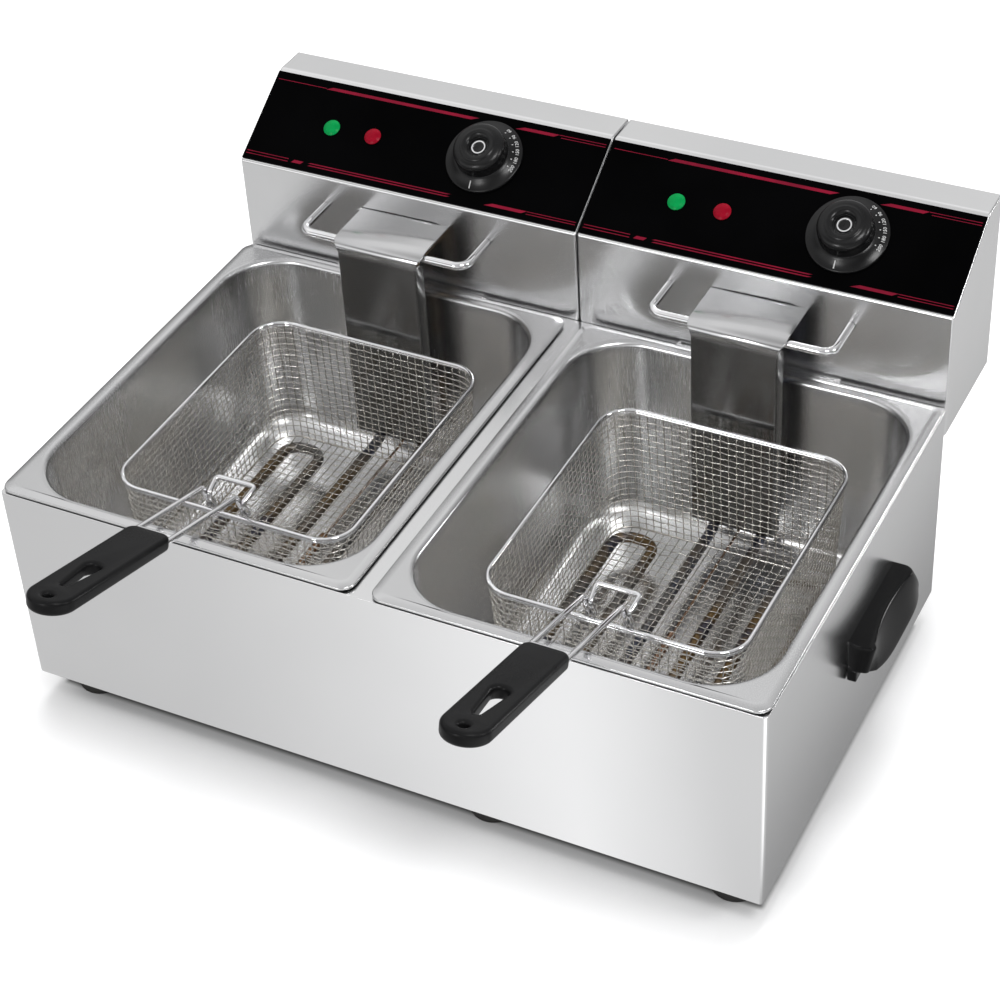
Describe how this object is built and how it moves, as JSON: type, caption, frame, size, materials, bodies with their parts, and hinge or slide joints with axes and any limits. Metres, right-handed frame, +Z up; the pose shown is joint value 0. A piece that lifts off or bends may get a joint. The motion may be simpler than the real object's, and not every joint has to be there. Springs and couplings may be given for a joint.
{
  "type": "electric deep fryer",
  "caption": "Countertop electric deep fryer with twin lift-out oil tanks, wire baskets with black grips and a sloping control head behind each tank.",
  "frame": {"origin": "middle of the footprint at the level of the feet's soles", "axes": "+X from the left tank to the right one, +Y from the front towards the control heads at the back, +Z up"},
  "size_m": [0.5896, 0.5728, 0.3035],
  "materials": {
    "brushed_sheet": "fine brushed stainless sheet, satin",
    "tank_steel": "deep-drawn stainless steel, soft polish",
    "head_steel": "stainless sheet with a bright satin finish",
    "cover_steel": "stainless sheet, satin",
    "bright_chrome": "polished plated wire",
    "basket_wire": "fine plated wire",
    "panel_black": "glossy printed panel film",
    "knob_black": "satin black moulding",
    "bakelite_black": "satin black bakelite",
    "grip_plastic": "soft satin black",
    "gland_black": "satin black nylon",
    "foot_rubber": "matt",
    "element_sheath": "heat-tinted steel sheath",
    "copper_bulb": "copper",
    "ivory_insulator": "glazed insulator",
    "green_lens": "translucent lens",
    "red_lens": "translucent lens",
    "red_button": "smooth moulding",
    "spindle_steel": "turned steel"
  },
  "bodies": {
    "housing": {"housing_shell": "brushed_sheet", "base_plate": "brushed_sheet", "foot_front_left": "foot_rubber", "foot_front_middle": "foot_rubber", "foot_front_right": "foot_rubber", "foot_rear_left": "foot_rubber", "foot_rear_middle": "foot_rubber", "foot_rear_right": "foot_rubber", "side_handle_left": "bakelite_black", "side_handle_right": "bakelite_black"},
    "tank_left": {"oil_tank_left": "tank_steel"},
    "head_left": {"head_case_left": "head_steel", "head_back_cover_left": "head_steel", "head_hook_left": "head_steel", "control_panel_left": "panel_black", "hanger_rod_left": "bright_chrome", "element_cover_left": "cover_steel", "heating_element_left": "element_sheath", "thermostat_bulb_left": "copper_bulb", "thermostat_body_left": "ivory_insulator", "power_lamp_left": "green_lens", "heat_lamp_left": "red_lens", "terminal_block_left": "ivory_insulator", "limit_switch_left": "ivory_insulator", "cable_gland_left": "gland_black"},
    "knob_left": {"control_knob_left": "knob_black", "knob_cap_left": "bright_chrome", "thermostat_spindle_left": "spindle_steel"},
    "reset_left": {"reset_button_left": "red_button"},
    "basket_left": {"basket_mesh_left": "basket_wire", "basket_rim_left": "bright_chrome", "basket_catch_left": "bright_chrome", "basket_handle_wires_left": "bright_chrome", "basket_grip_left": "grip_plastic"},
    "tank_right": {"oil_tank_right": "tank_steel"},
    "head_right": {"head_case_right": "head_steel", "head_back_cover_right": "head_steel", "head_hook_right": "head_steel", "control_panel_right": "panel_black", "hanger_rod_right": "bright_chrome", "element_cover_right": "cover_steel", "heating_element_right": "element_sheath", "thermostat_bulb_right": "copper_bulb", "thermostat_body_right": "ivory_insulator", "power_lamp_right": "green_lens", "heat_lamp_right": "red_lens", "terminal_block_right": "ivory_insulator", "limit_switch_right": "ivory_insulator", "cable_gland_right": "gland_black"},
    "knob_right": {"control_knob_right": "knob_black", "knob_cap_right": "bright_chrome", "thermostat_spindle_right": "spindle_steel"},
    "reset_right": {"reset_button_right": "red_button"},
    "basket_right": {"basket_mesh_right": "basket_wire", "basket_rim_right": "bright_chrome", "basket_catch_right": "bright_chrome", "basket_handle_wires_right": "bright_chrome", "basket_grip_right": "grip_plastic"}
  },
  "joints": [
    {"name": "tank_lift_left", "type": "slide", "parent": "housing", "child": "tank_left", "axis": [0, 0, 1], "range_m": [0, 0.18]},
    {"name": "head_lift_left", "type": "slide", "parent": "tank_left", "child": "head_left", "axis": [0, 0, 1], "range_m": [0, 0.17]},
    {"name": "basket_lift_left", "type": "slide", "parent": "head_left", "child": "basket_left", "axis": [0, 0, 1], "range_m": [0, 0.15]},
    {"name": "knob_turn_left", "type": "hinge", "parent": "head_left", "child": "knob_left", "pos_m": [-0.0875, 0.20766, 0.2768], "axis": [0, -0.5259, 0.8505], "range_deg": [-280, 0]},
    {"name": "reset_press_left", "type": "slide", "parent": "head_left", "child": "reset_left", "axis": [0, -1, 0], "range_m": [0, 0.0025], "stiffness_N_per_m": 800, "springref_m": -0.001},
    {"name": "tank_lift_right", "type": "slide", "parent": "housing", "child": "tank_right", "axis": [0, 0, 1], "range_m": [0, 0.18]},
    {"name": "head_lift_right", "type": "slide", "parent": "tank_right", "child": "head_right", "axis": [0, 0, 1], "range_m": [0, 0.17]},
    {"name": "basket_lift_right", "type": "slide", "parent": "head_right", "child": "basket_right", "axis": [0, 0, 1], "range_m": [0, 0.15]},
    {"name": "knob_turn_right", "type": "hinge", "parent": "head_right", "child": "knob_right", "pos_m": [0.1855, 0.20766, 0.2768], "axis": [0, -0.5259, 0.8505], "range_deg": [-280, 0]},
    {"name": "reset_press_right", "type": "slide", "parent": "head_right", "child": "reset_right", "axis": [0, -1, 0], "range_m": [0, 0.0025], "stiffness_N_per_m": 800, "springref_m": -0.001}
  ]
}
